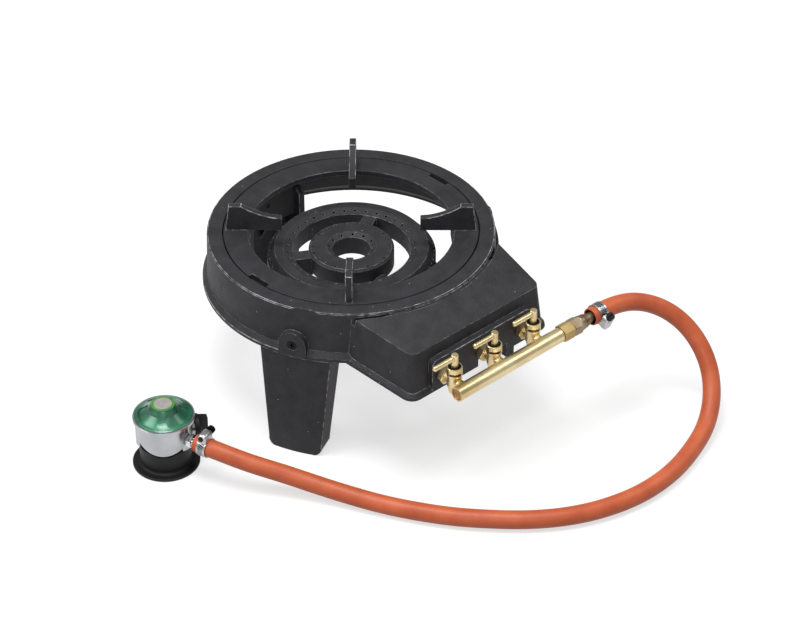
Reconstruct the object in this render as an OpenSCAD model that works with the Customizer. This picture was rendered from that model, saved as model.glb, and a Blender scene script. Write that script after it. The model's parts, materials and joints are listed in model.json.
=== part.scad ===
// Cast-iron gas ring for a wok: three-legged ring with a valve box, a two-ring burner,
// a loose pan support, three brass plug valves on a manifold, and a rubber hose with a
// clip-on cylinder regulator. Millimetres, +Z up, table at z = 0.

/* [Ring] */
// Outside diameter of the ring at its top
ring_d = 268; // [240:1:320]
// Height of the ring's wall
ring_h = 50; // [40:1:65]
// Thickness of the ring's wall
ring_wall = 6; // [5:0.5:9]
// Height of the ring's top above the table
stand_h = 159; // [140:1:190]
// How far the bottom rim stands proud of the wall
rim_proud = 4.5; // [3:0.5:7]
// Height of the bottom rim
rim_h = 3.5; // [3:0.5:6]
// Width of the flat rim round the pan support
rim_w = 14.5; // [11:0.5:20]

/* [Valve box] */
// How far the top edge of the box's front stands out from the ring
box_overhang = 36; // [32:1:50]
// Width of the box at its front
box_w_front = 160; // [145:1:180]
// Width of the box where it meets the ring
box_w_back = 178; // [160:1:195]
// Thickness of the box's walls
box_wall = 5.5; // [4:0.5:7]
// Depth of the box at its front
box_depth = 42; // [40:1:50]

/* [Legs] */
// Width of a leg at its top
leg_w_top = 69; // [60:1:75]
// Width of a leg at the table
leg_w_foot = 51; // [40:1:60]
// How far a foot reaches past the ring's top edge
foot_splay = 8.5; // [7.5:0.5:20]
// Thickness of a leg's walls
leg_wall = 5.5; // [4:0.5:7]
// Diameter of the leg screws
leg_screw_d = 5; // [4:0.5:6]

/* [Pan support] */
// Width of the loose support ring
support_w = 22.5; // [20:0.25:30]
// Thickness of the support ring
support_t = 5.7; // [4:0.1:8]
// Height of the fins above the support ring
fin_h = 26; // [18:1:34]
// Thickness of a fin
fin_t = 6.5; // [5:0.5:9]
// How far the loose support lies turned in its seat
support_turn = 2.5; // [0:0.5:8]

/* [Burner head] */
// Outside diameter of the outer flame ring
flame_d = 158; // [150:1:170]
// Inside diameter of the outer flame ring
flame_bore = 111; // [104:1:116]
// Outside diameter of the inner flame ring
pilot_d = 80; // [70:1:90]
// Diameter of the hole in the middle
pilot_bore = 35.5; // [28:0.5:42]
// Height of the burner's top above the ring's bottom
burner_rise = 30; // [26:1:34]
// Diameter of a flame port
port_d = 2.4; // [1.6:0.1:2.8]
// Outside diameter of a mixing tube
tube_d = 20; // [17:0.5:22]

/* [Valves and manifold] */
// Spacing of the three valves
valve_pitch = 48.6; // [42:0.1:54]
// Distance from the box's face to the valves
valve_standoff = 15; // [14:0.5:20]
// Distance from the valves to the manifold
manifold_gap = 15; // [14.5:0.5:20]
// Height of the gas way above the ring's bottom
gas_rise = 7; // [5:0.5:9]
// Outside diameter of the manifold tube
manifold_d = 14; // [12:0.5:16]
// Size across the flats of the manifold's nut and of the hose nipple
nut_af = 15; // [14:0.5:18]
// Diameter of a valve's collar
collar_d = 14.3; // [13:0.1:15.5]
// Diameter of a valve's post
post_d = 6.6; // [6.2:0.1:7]
// Length of a lever from the valve's axis
lever_l = 26; // [18:0.5:30]
// Diameter of a lever
lever_d = 5.2; // [4:0.1:5.4]
// Angle between shut and open
valve_turn = 90; // [60:5:90]

/* [Hose] */
// Outside diameter of the hose
hose_d = 17; // [15:0.5:19]
// Bore of the hose
hose_bore = 10; // [8:0.5:11]

/* [Regulator] */
// Diameter of the regulator's rim
regulator_d = 56.8; // [54:0.2:62]
// Height of the regulator's rim
rim_z = 55; // [52:1:60]
// Diameter of the flange of the locking ring
flange_d = 62; // [60:1:70]
// Bore for the cylinder valve
socket_d = 35.2; // [34:0.2:36]
// Depth of the bore for the cylinder valve
socket_depth = 18; // [14:1:20]
// How far the locking ring lifts to let go
lock_lift = 5; // [3:0.5:5]

/* [Hidden] */
$fn = 96;

// Paint and metal colours
iron = "#2c2c2e";
brass = "#c9a44c";
bronze = "#8d7a5c";
copper = "#b0795a";
steel = "#c8cacc";
rubber = "#cc6234";
zinc = "#b9bbbf";
lacquer = "#1f6b45";
plastic = "#1c1c1e";

// Clearances: loose seats, running fits, flat faces that meet, and the overlap that fuses two shapes
seat_gap = 0.3;
run_gap = 0.05;
face_gap = 0.2;
fuse = 0.02;

// Ring, and the legs' places round it
ring_r = ring_d / 2;
ring_z = stand_h - ring_h;
ring_draft = 1.4;
edge_r = 1;
rim_bevel = 5;
flare = 8;
flare_h = 10;
flare_foot = 3;
gas_z = ring_z + gas_rise;
seat_r = ring_r - rim_w;
seat_z = stand_h - support_t - seat_gap;
ledge_r = seat_r - 7.5;
ledge_t = 5;
ledge_fillet = 4;
ledge_root_z = seat_z - ledge_t - ledge_fillet;
wall_in_r = ring_r - ring_wall;
wall_out_r = ring_r + ring_draft;
leg_angles = [-154, -26, 90];
boss_d = 27;
boss_z = ring_z + 13;
lip_r = wall_out_r + rim_proud;
boss_proud = 0.6;
boss_face_r = lip_r + boss_proud;

// Distances from the ring's axis: box, valves, manifold and feet
box_reach = ring_r + box_overhang;
box_lean_front = 4;
pad_proud = 3;
pad_face = box_reach + box_lean_front + pad_proud;
valve_reach = pad_face + valve_standoff;
manifold_reach = valve_reach + manifold_gap;
foot_reach = ring_r + foot_splay;

// The object's origin is under the middle of its box, so the ring's axis lies behind it
ring_y = (manifold_reach + nut_af / 2 - foot_reach) / 2;

// Valve box: lower edges, corner radius, slopes, the notch in its front and the lug beside it
box_z_back = stand_h - 6.5;
box_z_front = stand_h - 16;
box_back = ring_r - 34;
box_corner = 8;
box_edge = 1.6;
disc_t = 0.6;
box_lean_side = 3.5;
box_base_front = box_z_front - box_depth;
box_base_back = ring_z - 1;
box_lip = 3;
pad_w = 2 * valve_pitch + 24.8;
pad_h = box_depth - 8.5;
pad_corner = 6;
pad_root = box_reach - box_wall;
notch_x = [-4.5, 31];
notch_h = 7.5;
lug_w = 9.5;
lug_drop = 8.5;
groove_w = 3;
groove_depth = 4.5;
stub_hole_d = 10.6;

// Legs: top edge under the ring, section, tab inside the ring's wall and its gusset
leg_top_z = ring_z - 1.6;
leg_top_reach = lip_r - 2;
leg_depth_top = 25;
leg_depth_foot = 20;
leg_plate = 6;
foot_corner = 8;
tab_t = 6;
tab_in_r = wall_in_r - seat_gap - tab_t;
tab_h = 27;
tab_z = leg_top_z + tab_h;
tab_corner = 6;
gusset_t = 4;
gusset_run = 13;
gusset_h = 34;
screw_head_d = 2 * leg_screw_d;
screw_head_h = leg_screw_d / 2;
screw_l = boss_face_r - tab_in_r - 0.5;
recess_w = 1.2;
recess_l = 5;
recess_depth = 1.6;

// Pan support: the fins' outline and the two notches for a lifting hook
support_d = 2 * (seat_r - 1.1);
support_bore = support_d - 2 * support_w;
fin_angles = [45, 135, 225, 315];
fin_in_r = support_bore / 2 - 31.75;
fin_in_h = fin_h - 13.5;
fin_top_out = support_d / 2 - 5.3;
fin_foot_out = support_d / 2 - 2;
fin_curve_r = 77;
fin_curve_at = [fin_in_r - 6.8, fin_in_h + 76.7];
lift_notch_w = 23;
lift_notch_depth = 5;

// Burner head: sections, port rows and the webs that join the two rings
burner_z = ring_z + burner_rise;
burner_base = burner_z - 23;
flame_r = flame_d / 2;
flame_in_r = flame_bore / 2;
pilot_r = pilot_d / 2;
pilot_in_r = pilot_bore / 2;
flame_flat_r = flame_r - 7;
flame_inner_w = 8;
flame_inner_drop = 3;
pilot_inner_w = 5.5;
flame_slope_h = 8;
flame_side_h = 10;
burner_chamfer = 4;
burner_edge = 2;
port_depth = 5;
web_angles = [30, 150];
web_w = 13;
web_top = burner_z - 3.5;
tube_mouth = ring_r + 16;
tube_bore = 15;
tube_bore_end = 68;
tube_root_outer = 52;
tube_root_inner = 36;
collar_wall = 4.5;

// Valve: heights from the gas way, the tapered plug, the cup above it and the ways through it
valve_x = [-valve_pitch, 0, valve_pitch];
barrel_r = collar_d / 2 - 0.45;
barrel_foot_z = gas_z - 12;
barrel_foot_r = 4.8;
plug_z = gas_z - 9.2;
plug_r0 = 3.9;
plug_r1 = 4.6;
cup_z = gas_z + 7.4;
cup_r = collar_d / 2 - 1.15;
cup_rim_z = gas_z + 17;
head_r = cup_r - 2.1;
head_z = cup_z + seat_gap;
head_h = 5.2;
head_flange_r = cup_r - 0.35;
head_flange_t = 0.8;
stop_z = head_z + 3.3;
stop_d = 1.8;
stop_in_r = 1.5;
stop_out_r = collar_d / 2 - 0.3;
window_h = 2.6;
window_play = 13;
post_z = gas_z + 30;
lever_z = gas_z + 26.3;
post_r = post_d / 2;
lever_in = 1.8;
coil_r = (post_r + cup_r) / 2;
coil_wire = 0.6;
coil_turns = 2;
coil_pitch = 1.1;
coil_z = head_z + head_h + coil_wire / 2 + run_gap;
retainer_z = coil_z + coil_turns * coil_pitch + coil_wire / 2 + run_gap;
retainer_t = 0.8;
gas_way_d = 3;
inlet_root_r = 5.4;
inlet_r = 4.6;
spigot_r = 3.9;
stub_d = 10;
stub_end = valve_reach - (pad_face - 16);
lock_nut_af = 14;
lock_nut_t = 5.8;
lock_nut_y = valve_reach - pad_face - face_gap;
injector_af = 12;
injector_y = stub_end - 5;
injector_hex_l = 7;
injector_l = 11;
jet_d = 1.1;

// Manifold along X: tube, threaded end, nut and hose nipple
manifold_x0 = -valve_pitch - 11.4;
manifold_x1 = valve_pitch + 19.4;
manifold_bore_r = manifold_d / 2 - 1.2;
thread_r = manifold_d / 2 - 1;
thread_l = 7.5;
thread_bore_r = 4.2;
nut_x = manifold_x1 + 1;
nut_l = 13;
nut_chamfer = 1.2;
nipple_x = nut_x + nut_l;
nipple_thread_l = 5;
nipple_hex_l = 10;
nipple_collar_l = 9;
nipple_shank_l = 7;
nipple_bore_r = 3;
hose_side_angle = 180 / 12;
barb_r = hose_bore / 2 * cos(hose_side_angle) - run_gap;
barb_count = 3;
barb_pitch = 8;
end_plug_l = 4.8;
end_recess = 1.2;

// Hose: route of its middle line, from the nipple to the regulator. It is drawn for the sizes above,
// and its start follows the nipple while the rest stays on the table.
hose_r = hose_d / 2;
hose_sides = 12;
hose_rings_per_span = 2;
hose_lift_points = 7;
hose_draft = [[108, -171, 116], [136, -171, 116], [167, -175, 109], [194, -191, 93], [208, -213, 70],
              [206, -237, 45], [190, -256, 25], [166, -270, 12], [139, -279, 9], [113, -287, 9],
              [86, -291, 9], [58, -291, 9], [31, -286, 9], [4, -277, 9], [-22, -263, 9],
              [-46, -245, 9], [-68, -223, 9], [-89, -200, 9], [-107, -174, 9], [-124, -146, 9],
              [-139, -118, 11], [-155, -90, 15], [-172, -64, 22], [-191, -42, 30], [-205, -17, 36],
              [-213, 9, 36]];
hose_start = [nipple_x + nipple_hex_l + nipple_collar_l + nipple_shank_l, ring_y - manifold_reach, gas_z];
hose_shift = hose_start - hose_draft[0];
hose_route = [for (i = [0:len(hose_draft) - 1])
    let (p = hose_draft[i], lift = max(0, 1 - i / hose_lift_points))
    [p[0] + hose_shift[0], p[1] + hose_shift[1], max(p[2] + hose_shift[2] * lift, hose_r + 0.5)]];

// Worm-drive clips: band, screw housing and screw
band_t = 0.8;
band_w = 9;
band_r = hose_r + 0.35;
clip_from_end = 10;
worm_d = 5;
worm_l = 15;
worm_housing_l = 12;
worm_housing_w = 9.6;
worm_axis_r = band_r + band_t + worm_d / 2 + 0.6;
worm_head_af = 7;
worm_head_l = 4.5;
worm_slot_w = 1.2;
clip_burner_turn = 113;

// Regulator: it stands at the hose's end, with its outlet along the hose
hose_end = hose_route[len(hose_route) - 1];
hose_before = hose_route[len(hose_route) - 2];
outlet_angle = atan2(hose_before[1] - hose_end[1], hose_before[0] - hose_end[0]);
outlet_z = hose_end[2];
rim_r = regulator_d / 2;
case_r = rim_r - 2.6;
outlet_reach = case_r + 9.2;
regulator_at = [hose_end[0] - outlet_reach * cos(outlet_angle),
                hose_end[1] - outlet_reach * sin(outlet_angle)];
front_angle = -132;
switch_angle = -25;
switch_z = outlet_z - 1;
skirt_in_r = case_r - 1.2;
skirt_z = 26;
skirt_arch_r = 38;
pocket_z = 33;
spigot_base = 2;
neck_r = skirt_in_r - 1.2;
lock_r = skirt_in_r - 0.4;
lock_in_r = socket_d / 2 + 4.2;
case_spigot_r = lock_in_r - seat_gap;
lock_neck_z = pocket_z - lock_lift - 3;
lock_collar_z = skirt_z - 3;
flange_t = 3;
flange_curve = 2.4;
waist_r = lock_r - 0.8;
seal_seat_r = 15;
seal_t = 2.2;
seal_bore_r = 9;
chamber_r = 23;
chamber_z = rim_z - 10;
diaphragm_t = 0.8;
diaphragm_r = rim_r - 1.5;
cap_r = diaphragm_r - 0.1;
cap_z = rim_z - 1.6 + diaphragm_t;
cap_h = 12.8;
cap_top_r = 12;
cap_wall = 2;
cap_dish = 1.6;
pocket_count = 3;
pocket_span = 94;
pocket_corner = 3;
label_r = 10.8;
label_t = 0.4;
lobe_r = 8;
lobe_at_r = case_r - lobe_r + 0.9;
lobe_angles = [outlet_angle, 150];
switch_d = 22;
switch_t = 6;
switch_face_r = case_r + 0.9 + seat_gap;
switch_shaft_r = 4;
switch_shaft_in = 20;
wing_t = 6;
wing_h = 7;
nozzle_flange_r = 6.4;
nozzle_in = 20;
nozzle_shank_r = 4.4;
reg_coil_r = 7;
reg_coil_wire = 1.4;
reg_coil_turns = 3;
reg_coil_pitch = 2.4;
reg_coil_z = cap_z + reg_coil_wire / 2 + face_gap;

// Shared shapes and curves

module on_ring() translate([0, ring_y, 0]) children();

module round_about(angles) for (a = angles) rotate(a) children();

// Hexagonal bar along Z with bevelled ends
module hex_bar(af, l, bevel) intersection() {
    cylinder(d = af / cos(30), h = l, $fn = 6);
    rotate_extrude() polygon([[0, 0], [af / 2 - 0.2, 0], [af / 2 / cos(30) + fuse, bevel],
                              [af / 2 / cos(30) + fuse, l - bevel], [af / 2 - 0.2, l], [0, l]]);
}

function spline_point(a, b, c, d, t) =
    (pow(1 - t, 3) * a + (3 * pow(t, 3) - 6 * t * t + 4) * b
     + (-3 * pow(t, 3) + 3 * t * t + 3 * t + 1) * c + pow(t, 3) * d) / 6;

// Smooth curve drawn by a route, with its ends on the route's ends
function spline(route, steps) =
    let (n = len(route),
         p = concat([2 * route[0] - route[1]], route, [2 * route[n - 1] - route[n - 2]]))
    concat([for (i = [0:n - 2], k = [0:steps - 1])
                spline_point(p[i], p[i + 1], p[i + 2], p[i + 3], k / steps)],
           [route[n - 1]]);

function helix(r, pitch, turns, steps) =
    [for (i = [0:turns * steps]) [r * cos(360 * i / steps), r * sin(360 * i / steps), pitch * i / steps]];

function unit(v) = v / norm(v);

function polar(r, t) = [r * cos(t), r * sin(t)];

function tangent(path, i) = unit(path[min(i + 1, len(path) - 1)] - path[max(i - 1, 0)]);

// Rings of points round a path that never stands upright
function tube_points(path, r, sides) =
    [for (i = [0:len(path) - 1])
        let (t = tangent(path, i), s = unit(cross(t, [0, 0, 1])), u = cross(s, t))
        for (k = [0:sides - 1]) path[i] + r * cos(360 * k / sides) * s + r * sin(360 * k / sides) * u];

// Triangles of a tube's skin, from the first point of its first ring
function skin_faces(rings, sides, first, inward) =
    [for (i = [0:rings - 2], k = [0:sides - 1])
        let (a = first + i * sides + k, b = first + i * sides + (k + 1) % sides,
             c = a + sides, d = b + sides)
        each (inward ? [[a, c, b], [b, c, d]] : [[a, b, c], [b, d, c]])];

module wire(path, r, sides) {
    n = len(path);
    last = (n - 1) * sides;
    polyhedron(points = tube_points(path, r, sides),
               faces = concat(skin_faces(n, sides, 0, false),
                              [[for (k = [sides - 1:-1:0]) k]],
                              [[for (k = [0:sides - 1]) last + k]]));
}

module hollow_wire(path, r, bore_r, sides) {
    n = len(path);
    all = n * sides;
    last = (n - 1) * sides;
    polyhedron(points = concat(tube_points(path, r, sides), tube_points(path, bore_r, sides)),
               faces = concat(skin_faces(n, sides, 0, false), skin_faces(n, sides, all, true),
                              [for (k = [0:sides - 1]) let (m = (k + 1) % sides) each
                                  [[k, all + k, m], [m, all + k, all + m],
                                   [last + k, last + m, all + last + k],
                                   [last + m, all + last + m, all + last + k]]]));
}

// Least gap between turns of a coil, measured on points at least half a turn apart
function least_gap(path, wire_d, apart) =
    min([for (i = [0:len(path) - 1 - apart], j = [i + apart:len(path) - 1])
             norm(path[i] - path[j])]) - wire_d;

// Ring, box and legs

module ring_section() polygon([
    [ledge_r, seat_z - ledge_t], [ledge_r, seat_z], [seat_r, seat_z], [seat_r, stand_h],
    [ring_r - edge_r, stand_h], [ring_r, stand_h - edge_r],
    [wall_out_r, ring_z + rim_h + rim_bevel], [lip_r, ring_z + rim_h], [lip_r, ring_z],
    [wall_in_r + flare, ring_z], [wall_in_r + flare, ring_z + flare_foot],
    [wall_in_r + ring_draft, ring_z + flare_h],
    [wall_in_r, ledge_root_z], [wall_in_r - ledge_fillet, seat_z - ledge_t]]);

// Radius of the wall's inner face at a height above its flared foot
function wall_in(z) = wall_in_r + ring_draft * (ledge_root_z - z) / (ledge_root_z - ring_z - flare_h);

module box_disc(x, y, z, r) translate([x, y, z]) cylinder(r = r, h = disc_t, center = true, $fn = 32);

// Solid of the box: inset takes it in all round, drop lowers its top and sink its open side
module box_solid(inset, drop, sink) hull() for (s = [-1, 1]) {
    front_x = box_w_front / 2 - box_corner;
    back_x = box_w_back / 2 - box_corner;
    for (step = [[0, box_edge], [box_edge, 0]]) {
        box_disc(s * front_x, box_corner - box_reach, box_z_front - drop - step[0],
                 box_corner - inset - step[1]);
        box_disc(s * back_x, -box_back, box_z_back - drop - step[0], box_corner - inset - step[1]);
    }
    box_disc(s * (front_x + box_lean_side), box_corner - box_reach - box_lean_front, box_base_front - sink,
             box_corner - inset);
    box_disc(s * (back_x + box_lean_side), -box_back, box_base_back - sink, box_corner - inset);
}

// Lip round the box's open side
module box_rim() hull()
  for (s = [-1, 1], step = [[0, box_lip], [rim_h - 1, box_lip - 0.5], [rim_h + 2, 0]]) {
    x_lean = box_lean_side - box_corner;
    box_disc(s * (box_w_front / 2 + x_lean), box_corner - box_reach - box_lean_front,
             box_base_front + step[0], box_corner + step[1]);
    box_disc(s * (box_w_back / 2 + x_lean), -box_back, box_base_back + step[0], box_corner + step[1]);
}

// Outline of the valve pad, in X and Z, with the lug that hangs from its lower edge
module pad_outline() {
    half = pad_w / 2;
    translate([-half, box_base_front]) square([pad_w, pad_h - pad_corner]);
    translate([pad_corner - half, box_base_front]) square([pad_w - 2 * pad_corner, pad_h]);
    for (s = [-1, 1])
        translate([s * (half - pad_corner), box_base_front + pad_h - pad_corner]) circle(pad_corner);
    translate([notch_x[1], box_base_front - lug_drop]) square([lug_w, lug_drop + notch_h]);
}

module along_y(x, z) translate([x, 0, z]) rotate([90, 0, 0]) children();

module screw_boss() intersection() {
    root = wall_in_r + ring_draft + 1;
    foot = ring_z + boss_proud;
    union() {
        translate([root, 0, boss_z]) rotate([0, 90, 0]) cylinder(d = boss_d, h = boss_face_r - root);
        translate([root, -boss_d / 2, foot]) cube([boss_face_r - root, boss_d, boss_z - foot]);
    }
    translate([root - 1, -boss_d, foot]) cube([boss_face_r - root + 2, 2 * boss_d, ring_h]);
}

module screw_hole() translate([boss_face_r, 0, boss_z]) rotate([0, -90, 0]) {
    translate([0, 0, -fuse]) cylinder(d1 = screw_head_d + 2 * face_gap, d2 = leg_screw_d + 2 * face_gap,
                                      h = screw_head_h + face_gap);
    cylinder(d = leg_screw_d + 2 * face_gap, h = ring_wall + rim_proud + 8);
}

module wall_band(z0, z1) rotate_extrude() translate([wall_in_r + ring_draft, z0])
    square([wall_out_r - wall_in_r - ring_draft, z1 - z0]);

module housing() color(iron) on_ring() difference() {
    union() {
        rotate_extrude() ring_section();
        difference() {
            union() {
                box_solid(0, 0, 0);
                box_rim();
                translate([0, -pad_root, 0]) along_y(0, 0) linear_extrude(pad_face - pad_root) pad_outline();
            }
            cylinder(r = ring_r - ring_wall / 2, h = stand_h);
        }
        intersection() {
            wall_band(0, box_z_front);
            union() {
                box_solid(1, 1, 0);
                for (x = valve_x) along_y(x, gas_z) cylinder(d = tube_d + 2 * collar_wall, h = box_reach);
            }
        }
        round_about(leg_angles) screw_boss();
    }
    difference() {
        box_solid(box_wall, box_wall, 3);
        cylinder(r = wall_out_r, h = stand_h);
    }
    for (x = valve_x) {
        along_y(x, gas_z) cylinder(d = tube_d + 2 * face_gap, h = tube_mouth);
        along_y(x, gas_z) translate([0, 0, tube_mouth])
            cylinder(d = stub_hole_d, h = pad_face - tube_mouth + 1);
    }
    translate([notch_x[0], -pad_face - 1, box_base_front - 1])
        cube([notch_x[1] - notch_x[0], pad_face - pad_root + 6, notch_h + 1]);
    rotate_extrude() translate([ring_r + fuse + ring_draft * 0.3, box_z_back - groove_depth])
        square([groove_w, groove_depth + 1]);
    round_about(leg_angles) screw_hole();
}

function leg_out(z) = foot_reach + (leg_top_reach - foot_reach) * z / leg_top_z;
function leg_half(z) = (leg_w_foot + (leg_w_top - leg_w_foot) * z / leg_top_z) / 2;

// Front view of a leg, in Y and Z, with round corners at the foot
module leg_outline() {
    top = leg_half(leg_top_z);
    foot = leg_half(foot_corner);
    polygon([[-top, tab_z], [top, tab_z], [top, leg_top_z], [foot, foot_corner],
             [foot - foot_corner, 0], [foot_corner - foot, 0], [-foot, foot_corner], [-top, leg_top_z]]);
    for (s = [-1, 1]) translate([s * (foot - foot_corner), foot_corner]) circle(foot_corner);
}

module leg_pocket_outline() {
    top = leg_half(leg_top_z) - leg_wall;
    foot = leg_half(0) - leg_wall;
    polygon([[-top, tab_z + 1], [top, tab_z + 1], [top, leg_top_z],
             [foot, -1], [-foot, -1], [-top, leg_top_z]]);
}

// Side view of a leg: it leans out to the foot, and its upper part stands inside the ring's wall
module leg_section() {
    in_r = leg_out(leg_top_z) - leg_depth_top;
    tab_foot = ring_z + flare_h;
    polygon([[in_r, tab_z - tab_corner], [in_r + tab_corner, tab_z], [wall_in(tab_z) - seat_gap, tab_z],
             [wall_in(tab_foot) - seat_gap, tab_foot], [wall_in(tab_foot) - seat_gap, leg_top_z],
             [leg_out(leg_top_z), leg_top_z], [leg_out(0), 0],
             [leg_out(0) - leg_depth_foot, 0], [in_r, leg_top_z]]);
}

module leg_pocket_section() {
    shelf = leg_top_z - leg_plate;
    polygon([[0, tab_z + 1], [tab_in_r, tab_z + 1], [tab_in_r, shelf], [leg_out(shelf) - leg_wall, shelf],
             [leg_out(-1) - leg_wall, -1], [0, -1]]);
}

module radial_prism(l) rotate([90, 0, 90]) linear_extrude(l) children();

module leg(angle) color(iron) on_ring() rotate(angle) difference() {
    union() {
        difference() {
            intersection() {
                rotate_extrude() leg_section();
                radial_prism(foot_reach + 1) leg_outline();
            }
            intersection() {
                rotate_extrude() leg_pocket_section();
                radial_prism(foot_reach + 1) leg_pocket_outline();
            }
        }
        foot_z = leg_top_z - gusset_h;
        translate([0, gusset_t / 2, 0]) rotate([90, 0, 0]) linear_extrude(gusset_t)
            polygon([[tab_in_r + 1, leg_top_z - 1],
                     [leg_out(leg_top_z) - leg_wall - gusset_run, leg_top_z - leg_plate - 0.5],
                     [leg_out(foot_z) - leg_wall / 2, foot_z],
                     [leg_out(leg_top_z) - leg_wall / 2, leg_top_z - 1]]);
    }
    translate([0, 0, boss_z]) rotate([0, 90, 0]) cylinder(d = leg_screw_d + 2 * run_gap, h = ring_r);
}

module leg_front_left() leg(leg_angles[0]);
module leg_front_right() leg(leg_angles[1]);
module leg_rear() leg(leg_angles[2]);

// Countersunk cross-head screws that hold the legs
module leg_screws() color(iron) on_ring() round_about(leg_angles)
    translate([boss_face_r, 0, boss_z]) rotate([0, -90, 0]) difference() {
        union() {
            cylinder(d1 = screw_head_d, d2 = leg_screw_d, h = screw_head_h);
            cylinder(d = leg_screw_d, h = screw_l);
        }
        for (a = [0, 90]) rotate(a) translate([-recess_w / 2, -recess_l / 2, -fuse])
            cube([recess_w, recess_l, recess_depth]);
    }

// Pan support and burner

module fin_outline() difference() {
    polygon([[fin_in_r, -fuse], [fin_in_r, fin_in_h], [fin_in_r, fin_h], [fin_top_out, fin_h],
             [fin_foot_out, 0], [fin_foot_out, -fuse]]);
    translate(fin_curve_at) circle(fin_curve_r);
    translate([0, fin_in_h]) square([fin_in_r + fuse, fin_h]);
}

module pan_support() color(iron) on_ring() rotate(support_turn) difference() {
    union() {
        translate([0, 0, stand_h - support_t]) rotate_extrude()
            translate([support_bore / 2, 0]) square([(support_d - support_bore) / 2, support_t]);
        translate([0, 0, stand_h]) round_about(fin_angles)
            translate([0, fin_t / 2, 0]) rotate([90, 0, 0]) linear_extrude(fin_t) fin_outline();
    }
    round_about([0, 180]) translate([support_d / 2 - lift_notch_depth, -lift_notch_w / 2, seat_z - 1])
        cube([lift_notch_depth + 1, lift_notch_w, support_t + 2]);
}

module flame_section() polygon([
    [flame_in_r, burner_base + burner_edge], [flame_in_r, burner_z - flame_inner_drop],
    [flame_in_r + flame_inner_w, burner_z], [flame_flat_r, burner_z],
    [flame_r, burner_z - flame_slope_h], [flame_r, burner_z - flame_slope_h - flame_side_h],
    [flame_r - burner_chamfer, burner_base], [flame_in_r + burner_edge, burner_base]]);

module pilot_section() polygon([
    [pilot_in_r, burner_base + burner_edge], [pilot_in_r, burner_z - flame_inner_drop],
    [pilot_in_r + pilot_inner_w, burner_z], [pilot_r - burner_edge, burner_z],
    [pilot_r, burner_z - burner_edge],
    [pilot_r, burner_base + burner_chamfer], [pilot_r - burner_chamfer, burner_base],
    [pilot_in_r + burner_edge, burner_base]]);

// Row of drilled ports at a radius and height, leaning out from upright by an angle
module port_row(r, z, lean, count) for (i = [0:count - 1]) rotate(360 * (i + 0.5) / count)
    translate([r, 0, z]) rotate([0, lean, 0]) translate([0, 0, -port_depth])
        cylinder(d = port_d, h = port_depth + 2, $fn = 16);

module burner_head() color(iron) on_ring() difference() {
    union() {
        rotate_extrude() flame_section();
        rotate_extrude() pilot_section();
        round_about(web_angles) translate([pilot_r - burner_edge, -web_w / 2, burner_base])
            cube([flame_in_r - pilot_r + 2 * burner_edge, web_w, web_top - burner_base]);
        for (x = valve_x) {
            root = x == 0 ? tube_root_inner : tube_root_outer;
            along_y(x, gas_z) translate([0, 0, root]) cylinder(d = tube_d, h = tube_mouth - root);
        }
    }
    for (x = valve_x) along_y(x, gas_z) translate([0, 0, tube_bore_end])
        cylinder(d = tube_bore, h = tube_mouth - tube_bore_end + 1);
    slope = atan(flame_slope_h / (flame_r - flame_flat_r));
    port_row(flame_r - 2.4, burner_z - flame_slope_h * (1 - 2.4 / (flame_r - flame_flat_r)), slope, 72);
    port_row(flame_in_r + flame_inner_w / 2, burner_z - flame_inner_drop / 2,
             -atan(flame_inner_drop / flame_inner_w), 36);
    port_row(pilot_r - burner_edge - 1.8, burner_z, 0, 22);
    port_row(pilot_in_r + pilot_inner_w / 2, burner_z - flame_inner_drop / 2,
             -atan(flame_inner_drop / pilot_inner_w), 12);
}

// Valves

module at_valve(i) translate([valve_x[i], ring_y - valve_reach, 0]) children();

// Shape along the valve's gas way, from a distance behind (+) or in front (-) of the valve's axis
module gas_axis(from) translate([0, from, gas_z]) rotate([-90, 0, 0]) children();

module plug_cone(gap, extra) translate([0, 0, plug_z - extra])
    cylinder(r1 = plug_r0 + gap, r2 = plug_r1 + gap, h = cup_z - plug_z + extra);

module valve_body(i) color(brass) at_valve(i) difference() {
    union() {
        rotate_extrude() polygon([
            [0, barrel_foot_z], [barrel_foot_r - 1, barrel_foot_z], [barrel_foot_r, barrel_foot_z + 1],
            [barrel_r, gas_z - 3], [barrel_r, cup_z], [collar_d / 2, cup_z + 0.8],
            [collar_d / 2, cup_rim_z - 0.4], [collar_d / 2 - 0.4, cup_rim_z], [0, cup_rim_z]]);
        gas_axis(manifold_d / 2 - manifold_gap + face_gap)
            cylinder(r1 = inlet_r, r2 = inlet_root_r, h = manifold_gap - manifold_d / 2 - 2);
        gas_axis(manifold_bore_r - manifold_gap - face_gap) cylinder(r = spigot_r, h = 4);
        gas_axis(2) cylinder(d = stub_d, h = stub_end - 2);
    }
    plug_cone(run_gap, 0.5);
    translate([0, 0, cup_z]) cylinder(r = cup_r, h = cup_rim_z - cup_z + 1);
    gas_axis(-manifold_gap) cylinder(d = gas_way_d, h = manifold_gap + stub_end + 1);
    rotate(180 - window_play) rotate_extrude(angle = valve_turn + 2 * window_play)
        translate([cup_r - 0.5, stop_z - window_h / 2]) square([collar_d / 2 - cup_r + 1.5, window_h]);
}

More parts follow.
